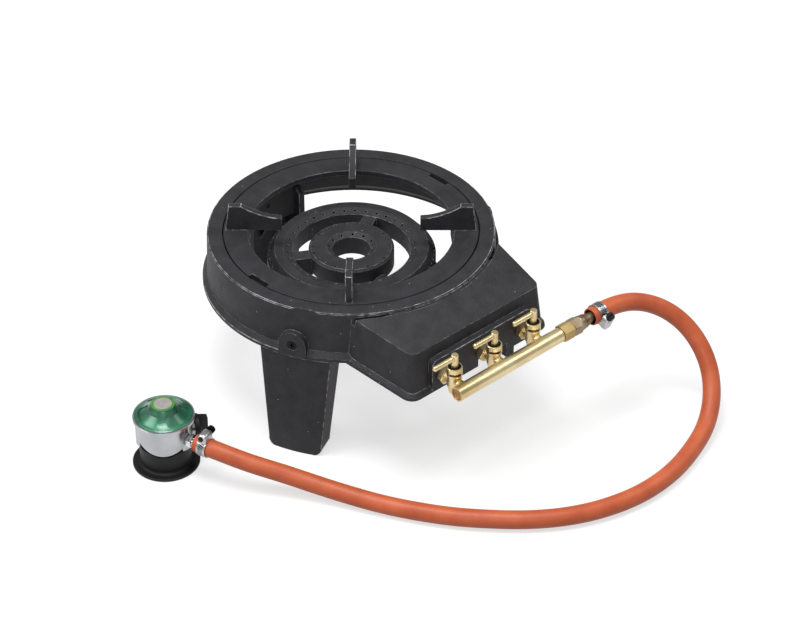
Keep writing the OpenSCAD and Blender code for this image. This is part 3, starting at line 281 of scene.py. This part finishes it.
def makeCoating(name, spec):
    mat, tree, shader, coords = newMaterial(name)
    patch = addNode(tree, "ShaderNodeTexNoise", {
        "Vector": coords, "Scale": perMm(spec["patchMm"]), "Detail": 5})
    skin = addNode(tree, "ShaderNodeTexNoise", {
        "Vector": coords, "Scale": perMm(spec["skinMm"]), "Detail": 2})
    mottle = addNode(tree, "ShaderNodeMapRange", {
        "Value": patch.outputs["Fac"],
        "From Min": coatingSkin["mottle"][0], "From Max": coatingSkin["mottle"][1]})
    colour = addNode(tree, "ShaderNodeMix", {
        "Factor": mottle.outputs["Result"],
        mixA: hexLinear(spec["dark"]), mixB: hexLinear(spec["light"])}, data_type="RGBA")
    rough = addNode(tree, "ShaderNodeMapRange", {
        "Value": skin.outputs["Fac"], "To Min": spec["rough"][0], "To Max": spec["rough"][1]})
    bump = addNode(tree, "ShaderNodeBump", {
        "Height": skin.outputs["Fac"], "Strength": spec["bump"], "Distance": coatingSkin["bumpDeep"]})
    tree.links.new(colour.outputs[mixOut], shader.inputs["Base Color"])
    tree.links.new(rough.outputs["Result"], shader.inputs["Roughness"])
    tree.links.new(bump.outputs["Normal"], shader.inputs["Normal"])
    shader.inputs["IOR"].default_value = spec["ior"]
    return mat


# Clear green lacquer over pressed metal: the metal shows through, and the clear coat gives bright lights.
# The flakes are drawn coarser than real ones, so that they show
greenLacquer = {
    "light": "#2f7a58", "dark": "#184f3b", "patchMm": 18, "flakeMm": 0.7, "rough": (0.34, 0.44),
    "pooling": (0.3, 0.66), "metallic": 0.4, "coat": 0.6, "coatRough": 0.2,
}


def makeLacquer(name, spec):
    mat, tree, shader, coords = newMaterial(name)
    patch = addNode(tree, "ShaderNodeTexNoise", {
        "Vector": coords, "Scale": perMm(spec["patchMm"]), "Detail": 3})
    flake = addNode(tree, "ShaderNodeTexNoise", {
        "Vector": coords, "Scale": perMm(spec["flakeMm"]), "Detail": 1})
    depth = addNode(tree, "ShaderNodeMapRange", {
        "Value": patch.outputs["Fac"], "From Min": spec["pooling"][0], "From Max": spec["pooling"][1]})
    colour = addNode(tree, "ShaderNodeMix", {
        "Factor": depth.outputs["Result"],
        mixA: hexLinear(spec["dark"]), mixB: hexLinear(spec["light"])}, data_type="RGBA")
    rough = addNode(tree, "ShaderNodeMapRange", {
        "Value": flake.outputs["Fac"], "To Min": spec["rough"][0], "To Max": spec["rough"][1]})
    tree.links.new(colour.outputs[mixOut], shader.inputs["Base Color"])
    tree.links.new(rough.outputs["Result"], shader.inputs["Roughness"])
    shader.inputs["Metallic"].default_value = spec["metallic"]
    shader.inputs["Coat Weight"].default_value = spec["coat"]
    shader.inputs["Coat Roughness"].default_value = spec["coatRough"]
    return mat


finishes = {
    "satin black cast iron": makeCastIron("satin black cast iron", castIron),
    "green lacquer on metal": makeLacquer("green lacquer on metal", greenLacquer),
}
finishes.update({name: makeMetal(name, spec) for name, spec in metals.items()})
finishes.update({name: makeCoating(name, spec) for name, spec in coatings.items()})
slotFinish = {
    "black cast iron": "satin black cast iron",
    "black screw steel": "blackened steel",
    "brass": "turned brass",
    "copper": "soldered copper",
    "bronze": "dull bronze",
    "steel": "zinc-plated steel",
    "orange hose rubber": "orange hose rubber",
    "zinc casting": "satin zinc casting",
    "green lacquer": "green lacquer on metal",
    "grey label": "printed grey film",
    "chrome": "bright chrome",
    "black rubber": "black rubber",
    "black plastic": "moulded black plastic",
}
nodeFinish = {  # nodes that look unlike the rest of their slot
    "clip_burner_screw": "blackened steel",
    "clip_regulator_screw": "blackened steel",
    # the nut takes the darker brass as painted shade
    "manifold_nut": "shaded brass",
}
for name, node in nodes.items():
    node.data.materials.clear()
    node.data.materials.append(finishes[nodeFinish.get(name, slotFinish[slotOf[name]])])
print("materials made:", len(finishes))

# Camera at the photograph's viewing angle
cameraSpec = {
    "place": (-1.3033, -1.4611, 1.5502), "azimuth": -42.35, "elevation": 37.05, "lens": 117.4, "sensor": 36}
cameraData = bpy.data.cameras.new("camera")
cameraData.lens = cameraSpec["lens"]
cameraData.sensor_width = cameraSpec["sensor"]
camera = bpy.data.objects.new("camera", cameraData)
scene.collection.objects.link(camera)
azimuth, elevation = math.radians(cameraSpec["azimuth"]), math.radians(cameraSpec["elevation"])
away = Vector((
    math.sin(azimuth) * math.cos(elevation), -math.cos(azimuth) * math.cos(elevation), math.sin(elevation)))
camera.location = cameraSpec["place"]
camera.rotation_mode = "QUATERNION"
camera.rotation_quaternion = (-away).to_track_quat("-Z", "Y")
scene.camera = camera
print("camera placed")


def placePiece(name, bm, finishNames, node, sharpAngle):  # a finished mesh that stands for a CAD node
    mesh = bpy.data.meshes.new(name)
    bm.to_mesh(mesh)
    bm.free()
    if "custom_normal" in mesh.attributes:  # left over from a CAD node's mesh
        mesh.attributes.remove(mesh.attributes["custom_normal"])
    mesh.shade_smooth()
    mesh.set_sharp_from_angle(angle=math.radians(sharpAngle))
    for finish in finishNames:
        mesh.materials.append(finishes[finish])
    piece = bpy.data.objects.new(name, mesh)
    scene.collection.objects.link(piece)
    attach(piece, bodyOf[node])
    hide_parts(node)
    return piece


def withCorners(edges):  # edges and their vertices, as bevel takes them
    return edges + list(dict.fromkeys(vert for edge in edges for vert in edge.verts))


# Worm-drive clips on the hose: a slotted band and a pressed saddle over the screw.
# The saddle's edges are rounded from "roundFrom" above the band
clipSpec = {
    "radius": 8.85 * mm, "thick": 0.8 * mm, "wide": 9 * mm, "segments": 60,
    "slotWide": 5.4 * mm, "slotEdge": 0.1 * mm, "slotDeep": 0.5 * mm, "slant": 0.035,
    "saddleWide": 9.6 * mm, "saddleLong": 14 * mm, "saddleLow": 8.0 * mm, "saddleHigh": 16.35 * mm,
    "round": 3.4 * mm, "roundFrom": 3 * mm, "roundSegments": 4, "sharpAngle": 30,
}
clipPlaces = {  # millimetres and degrees: a clip is shifted along the hose, turned, and carried to its place
    "clip_burner_band": {
        "piece": "clipBandBurner", "at": (118, -171, 116), "turn": 113, "axis": "X", "along": 0},
    "clip_regulator_band": {
        "piece": "clipBandRegulator", "at": (-223.293, 42.4523, 36), "turn": -72.8973, "axis": "Z",
        "along": 45},
}


def makeClip(spec):
    bm = bmesh.new()
    inner, outer = spec["radius"], spec["radius"] + spec["thick"]
    half, slotHalf = spec["wide"] / 2, spec["slotWide"] / 2
    section = [
        (-half, inner), (-half, outer), (-slotHalf, outer), (slotHalf, outer), (half, outer), (half, inner)]
    loop = [bm.verts.new((x, 0, z)) for x, z in section]
    edges = [bm.edges.new((loop[k - 1], loop[k])) for k in range(len(loop))]
    bmesh.ops.spin(bm, geom=loop + edges, axis=(1, 0, 0), cent=(0, 0, 0), dvec=(0, 0, 0), angle=math.tau,
                   steps=spec["segments"], use_merge=True)
    bmesh.ops.recalc_face_normals(bm, faces=bm.faces)
    step = math.tau / spec["segments"]
    slots = []
    for face in bm.faces:  # every other face of the band's outside becomes a slot
        centre = face.calc_center_median()
        turn = math.atan2(centre.y, centre.z) % math.tau
        outside = math.hypot(centre.y, centre.z) > (inner + outer) / 2
        if outside and abs(centre.x) < slotHalf / 2 and int(turn / step) % 2:
            slots.append(face)
    for vert in bm.verts:  # the worm's thread leans the slots
        vert.co = Matrix.Rotation(spec["slant"] * vert.co.x / mm, 3, "X") @ vert.co
    bmesh.ops.inset_individual(bm, faces=slots, thickness=spec["slotEdge"], depth=-spec["slotDeep"])
    # the slot floors take blackened steel: painted shade standing in for the dark gaps of the through-slots
    for face in slots:
        face.material_index = 1
    saddle = bmesh.ops.create_cube(bm, size=1)["verts"]
    bmesh.ops.scale(bm, verts=saddle, vec=(
        spec["saddleWide"], spec["saddleLong"], spec["saddleHigh"] - spec["saddleLow"]))
    bmesh.ops.translate(bm, verts=saddle, vec=(0, 0, (spec["saddleHigh"] + spec["saddleLow"]) / 2))
    rounded = [e for e in bm.edges if max(v.co.z for v in e.verts) > outer + spec["roundFrom"]]
    bmesh.ops.bevel(bm, geom=withCorners(rounded), offset=spec["round"], offset_type="OFFSET",
                    segments=spec["roundSegments"], profile=0.5, affect="EDGES", clamp_overlap=True,
                    material=-1)
    return bm


for node, place in clipPlaces.items():
    clip = makeClip(clipSpec)
    toHose = Matrix.Translation(Vector(place["at"]) * mm)
    turned = Matrix.Rotation(math.radians(place["turn"]), 4, place["axis"])
    bmesh.ops.transform(
        clip, matrix=toHose @ turned @ Matrix.Translation((place["along"] * mm, 0, 0)), verts=clip.verts)
    # blackened steel darkens the slot floors as painted shade
    placePiece(
        place["piece"], clip, ("zinc-plated steel", "blackened steel"), node, clipSpec["sharpAngle"])

# Round label on the regulator's cap: bare grey film with a printed green border
labelSpec = {"segments": 72, "border": 0.22, "edge": 0.15 * mm, "edgeSegments": 2, "sharpAngle": 35}


def makeLabel(low, high, spec):
    bm = bmesh.new()
    centre, radius = (low + high) / 2, (high.x - low.x) / 2
    bmesh.ops.create_circle(bm, cap_ends=True, segments=spec["segments"], radius=radius)
    bmesh.ops.solidify(bm, geom=bm.faces[:], thickness=high.z - low.z)
    bmesh.ops.recalc_face_normals(bm, faces=bm.faces)
    middle = sum(vert.co.z for vert in bm.verts) / len(bm.verts)
    bmesh.ops.translate(bm, verts=bm.verts, vec=centre - Vector((0, 0, middle)))
    for face in bm.faces:
        face.material_index = 1
    top = max(bm.faces, key=lambda face: face.calc_center_median().z)
    bmesh.ops.bevel(bm, geom=list(top.edges) + list(top.verts), offset=spec["edge"], offset_type="OFFSET",
                    segments=spec["edgeSegments"], profile=0.5, affect="EDGES", material=-1)
    discs = [face for face in bm.faces if len(face.verts) >= spec["segments"]]
    top = max(discs, key=lambda face: face.calc_center_median().z)
    bmesh.ops.inset_region(bm, faces=[top], thickness=radius * spec["border"])
    top.material_index = 0
    return bm


labelLow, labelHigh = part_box("regulator_label")
labelDisc = placePiece(
    "labelDisc", makeLabel(labelLow, labelHigh, labelSpec), ("printed grey film", "printed green film"),
    "regulator_label", labelSpec["sharpAngle"])
print("label made")

# Hose: a rubber tube along the same route as the CAD solid, with an open mouth at each end
hoseSpec = {
    "diameter": 17 * mm, "steps": 8, "sides": 24, "lipInset": 1.5 * mm, "lipRound": 0.4 * mm, "lipSegments": 2,
    "mouthTaper": 0.6 * mm, "mouthDeep": 9 * mm, "sharpAngle": 40,
}
hoseRoute = [  # millimetres
    (108, -171, 116), (136, -171, 116), (167, -175, 109), (194, -191, 93), (208, -213, 70), (206, -237, 45),
    (190, -256, 25), (166, -270, 12), (139, -279, 9), (113, -287, 9), (86, -291, 9), (58, -291, 9),
    (31, -286, 9), (4, -277, 9), (-22, -263, 9), (-46, -245, 9), (-68, -223, 9), (-89, -200, 9),
    (-107, -174, 9), (-124, -146, 9), (-139, -118, 11), (-155, -90, 15), (-172, -64, 22), (-191, -42, 30),
    (-205, -17, 36), (-213, 9, 36),
]


def splineThrough(route, steps):  # uniform cubic curve that starts and ends on the route's ends
    p = [Vector(point) * mm for point in route]
    p = [2 * p[0] - p[1]] + p + [2 * p[-1] - p[-2]]
    line = []
    for i in range(len(p) - 3):
        for k in range(steps):
            t = k / steps
            weights = ((1 - t) ** 3, 3 * t**3 - 6 * t * t + 4, -3 * t**3 + 3 * t * t + 3 * t + 1, t**3)
            line.append(sum((w * q for w, q in zip(weights, p[i : i + 4])), Vector()) / 6)
    return line + [p[-2]]


def makeHose(line, spec):
    bm = bmesh.new()
    sides, radius = spec["sides"], spec["diameter"] / 2
    turns = [math.tau * n / sides for n in range(sides)]
    across = Vector((0, 0, 1))
    rings = []
    for k, place in enumerate(line):
        along = (line[min(k + 1, len(line) - 1)] - line[max(k - 1, 0)]).normalized()
        across = (across - along * across.dot(along)).normalized()
        beside = along.cross(across)
        rings.append([
            bm.verts.new(place + radius * (math.cos(t) * across + math.sin(t) * beside)) for t in turns])
    for ring, following in zip(rings, rings[1:]):
        for n in range(sides):
            bm.faces.new((ring[n - 1], ring[n], following[n], following[n - 1]))
    caps = [bm.faces.new(rings[0]), bm.faces.new(rings[-1])]
    bmesh.ops.recalc_face_normals(bm, faces=bm.faces)
    for cap in caps:  # each end is sunk to a mouth with a rounded lip, lined in black rubber as painted shade inside the bore
        rim = list(cap.edges)
        bmesh.ops.inset_region(bm, faces=[cap], thickness=spec["lipInset"])
        rim += list(cap.edges)
        sunk = bmesh.ops.inset_region(bm, faces=[cap], thickness=spec["mouthTaper"], depth=-spec["mouthDeep"])
        for face in sunk["faces"] + [cap]:
            face.material_index = 1
        bmesh.ops.bevel(bm, geom=withCorners(rim), offset=spec["lipRound"], offset_type="OFFSET",
                        segments=spec["lipSegments"], profile=0.5, affect="EDGES", material=-1)
    return bm


hoseLine = splineThrough(hoseRoute, hoseSpec["steps"])
# the second finish lines the hose mouths as painted shade
hoseTube = placePiece(
    "hoseTube", makeHose(hoseLine, hoseSpec), ("orange hose rubber", "black rubber"), "hose",
    hoseSpec["sharpAngle"])

# Castings with their edges rounded, as sand moulds and paint leave them; the rounded faces take the wear and a
# painted highlight.
# An edge is rounded if its faces bend more than "bend" degrees, it is longer than "shortest", and it lies
# no nearer the ring's axis than "clear". Where "outline" is set, only outlines longer than that are taken.
# Rounded faces below the height set for each casting get the wear and painted highlight only faintly
plainEdges = {"wornAndLit": 0, "round": 0.6 * mm, "bend": 24, "shortest": 2.6 * mm, "clear": 0, "outline": 0}
castings = {
    "housing": {
        **plainEdges, "piece": "ringCasting", "bend": 40, "shortest": 0.2 * mm, "outline": 140 * mm},
    "pan_support": {**plainEdges, "piece": "panSupportCasting", "wornAndLit": 161 * mm, "clear": 66 * mm},
    "leg_front_left": {**plainEdges, "piece": "legCastingFrontLeft"},
    "leg_front_right": {**plainEdges, "piece": "legCastingFrontRight"},
    "leg_rear": {**plainEdges, "piece": "legCastingRear"},
}
softenSpec = {"merge": 0.002 * mm, "flat": 0.4, "segments": 2, "faint": 0.15, "sharpAngle": 20}

# Top of the valve box: nearly level with the ring, with a crisp edge. "back" and "front" give the plane of
# the CAD's top as distance from the ring's axis and height, and vertices within "depth" of it are lifted.
# The lift grows by "crown" beside the ring, and by the share "sharpen" of a vertex's depth below the plane,
# which makes the rounded edge crisp. The box's sides and front keep their lean
boxTop = {
    "back": (-100 * mm, 152.5 * mm), "front": (-170 * mm, 143 * mm), "depth": 2.2 * mm,
    "ring": 133.8 * mm, "behind": -60 * mm, "lift": 3.5 * mm, "sharpen": 0.85,
    "crown": 6 * mm, "crownFrom": 107 * mm, "fade": 24 * mm,
    "halfWide": 80 * mm, "leanSide": 0.07, "overhang": 36 * mm, "leanFront": 0.095,
}


def raiseBoxTop(bm, spec):
    (backY, backZ), (frontY, frontZ) = spec["back"], spec["front"]
    moved = set()
    for vert in bm.verts:
        aside, fromAxis = vert.co.x - ringAxis[0], vert.co.y - ringAxis[1]
        fromRing = math.hypot(aside, fromAxis) - spec["ring"]
        if fromRing < 0 or fromAxis > spec["behind"]:
            continue
        below = backZ + (frontZ - backZ) * (fromAxis - backY) / (frontY - backY) - vert.co.z
        if abs(below) < spec["depth"]:
            middle = min(1, max(0, (-fromAxis - spec["crownFrom"]) / (spec["ring"] - spec["crownFrom"])))
            crown = spec["crown"] * middle * max(0, 1 - fromRing / spec["fade"])
            rise = spec["lift"] + crown + spec["sharpen"] * max(0, below)
            outwards = -(fromAxis + spec["ring"]) / spec["overhang"]
            vert.co.x -= rise * spec["leanSide"] * aside / spec["halfWide"]
            vert.co.y += rise * spec["leanFront"] * max(0, outwards)
            vert.co.z += rise
            moved.add(vert)
    bm.normal_update()
    warped = [face for face in bm.faces if len(face.verts) > 3 and all(vert in moved for vert in face.verts)]
    bmesh.ops.triangulate(bm, faces=warped, quad_method="BEAUTY", ngon_method="BEAUTY")


def outlinesOf(edges, shortest):  # edges that hang together, from the shortest outline to the longest
    chosen, done, outlines = set(edges), set(), []
    for first in edges:
        if first in done:
            continue
        done.add(first)
        outline = [first]
        for edge in outline:
            for other in (link for vert in edge.verts for link in vert.link_edges):
                if other in chosen and other not in done:
                    done.add(other)
                    outline.append(other)
        outlines.append((sum(edge.calc_length() for edge in outline), outline))
    outlines.sort(key=lambda pair: pair[0])
    return [outline for length, outline in outlines if length > shortest]


def softenCasting(node, spec):
    bm = bmesh.new()
    bm.from_mesh(nodes[node].data)
    bmesh.ops.remove_doubles(bm, verts=bm.verts, dist=softenSpec["merge"])
    bmesh.ops.dissolve_limit(bm, angle_limit=math.radians(softenSpec["flat"]), use_dissolve_boundaries=False,
                             verts=bm.verts, edges=bm.edges)
    if node == "housing":
        raiseBoxTop(bm, boxTop)
    # each face's share of the pale edge colour: rubbed paint and painted highlight
    rubbedAndLit = bm.faces.layers.float.new("rubbedAndLit")
    bend = math.radians(spec["bend"])
    edges = [
        e for e in bm.edges
        if len(e.link_faces) == 2 and e.is_convex
        and e.calc_face_angle(0) > bend and e.calc_length() > spec["shortest"]
        and min(math.hypot(v.co.x - ringAxis[0], v.co.y - ringAxis[1]) for v in e.verts) >= spec["clear"]]
    groups = outlinesOf(edges, spec["outline"]) if spec["outline"] else [edges]
    for group in groups:
        made = bmesh.ops.bevel(bm, geom=withCorners(group), offset=spec["round"], offset_type="OFFSET",
                               segments=softenSpec["segments"], profile=0.5, affect="EDGES",
                               clamp_overlap=bool(spec["outline"]), material=-1)
        for face in made["faces"]:
            face[rubbedAndLit] = 1 if face.calc_center_median().z >= spec["wornAndLit"] else softenSpec["faint"]
    return bm, sum(len(group) for group in groups)


for node, spec in castings.items():
    casting, count = softenCasting(node, spec)
    openEdges = sum(len(e.link_faces) != 2 for e in casting.edges)
    print("casting softened:", node, "edges", count, "faces", len(casting.faces), "open", openEdges)
    placePiece(spec["piece"], casting, ("satin black cast iron",), node, softenSpec["sharpAngle"])

# Pale floor: white to the eye and in reflections, with a soft shadow; a duller bounce on the object
stageSpec = {
    "floorSize": 12, "bounce": "#969696", "floorRough": 0.9, "white": (1, 1, 1, 1),
    "shadowShare": 0.38, "shadowNear": 0.6, "shadowFar": 1.3, "world": 0.4, "lampAim": (0, 0, 0.08),
}
bm = bmesh.new()
bmesh.ops.create_grid(bm, x_segments=1, y_segments=1, size=stageSpec["floorSize"] / 2)
floorMesh = bpy.data.meshes.new("floor")
bm.to_mesh(floorMesh)
bm.free()
floor = bpy.data.objects.new("floor", floorMesh)
scene.collection.objects.link(floor)
floorMat, tree, shader, coords = newMaterial("white studio floor")
shader.inputs["Base Color"].default_value = hexLinear(stageSpec["bounce"])
shader.inputs["Roughness"].default_value = stageSpec["floorRough"]
shader.inputs["Specular IOR Level"].default_value = 0
rays = addNode(tree, "ShaderNodeLightPath")
mirrored = addNode(tree, "ShaderNodeMath", {
    0: rays.outputs["Is Glossy Ray"], 1: rays.outputs["Is Transmission Ray"]}, operation="MAXIMUM")
seen = addNode(tree, "ShaderNodeMath", {
    0: rays.outputs["Is Camera Ray"], 1: mirrored.outputs["Value"]}, operation="MAXIMUM")
paper = addNode(tree, "ShaderNodeBsdfDiffuse", {"Color": stageSpec["white"]})
glow = addNode(tree, "ShaderNodeEmission", {"Color": stageSpec["white"], "Strength": 1})
fromMiddle = addNode(tree, "ShaderNodeVectorMath", {0: coords}, operation="LENGTH")
share = addNode(tree, "ShaderNodeMapRange", {
    "Value": fromMiddle.outputs["Value"], "From Min": stageSpec["shadowNear"],
    "From Max": stageSpec["shadowFar"], "To Min": stageSpec["shadowShare"], "To Max": 0})
white = addNode(tree, "ShaderNodeMixShader", {
    0: share.outputs["Result"], 1: glow.outputs["Emission"], 2: paper.outputs["BSDF"]})
both = addNode(tree, "ShaderNodeMixShader", {
    0: seen.outputs["Value"], 1: shader.outputs["BSDF"], 2: white.outputs["Shader"]})
tree.links.new(both.outputs["Shader"], tree.nodes["Material Output"].inputs["Surface"])
floorMesh.materials.append(floorMat)

# White surroundings to the eye, dimmer as a light
world = bpy.data.worlds.new("studio")
scene.world = world
world.use_nodes = True
tree = world.node_tree
rays = addNode(tree, "ShaderNodeLightPath")
strength = addNode(tree, "ShaderNodeMapRange", {
    "Value": rays.outputs["Is Camera Ray"], "To Min": stageSpec["world"], "To Max": 1})
tree.links.new(strength.outputs["Result"], tree.nodes["Background"].inputs["Strength"])
tree.nodes["Background"].inputs["Color"].default_value = stageSpec["white"]

# Soft studio light
lamps = {
    "overhead softbox": {"place": (-0.4, -0.1, 2.4), "size": 0.9, "watts": 38},
    "rear left softbox": {"place": (-1.4, 0.9, 1.7), "size": 1.0, "watts": 18},
    "right softbox": {"place": (1.5, -0.7, 1.9), "size": 0.8, "watts": 10},
    "front softbox": {"place": (-1.6, -1.6, 1.5), "size": 0.8, "watts": 10},
}
for name, spec in lamps.items():
    data = bpy.data.lights.new(name, "AREA")
    data.size = spec["size"]
    data.energy = spec["watts"]
    lamp = bpy.data.objects.new(name, data)
    scene.collection.objects.link(lamp)
    lamp.location = spec["place"]
    lamp.rotation_mode = "QUATERNION"
    lamp.rotation_quaternion = (Vector(stageSpec["lampAim"]) - lamp.location).to_track_quat("-Z", "Y")
print("stage lit")
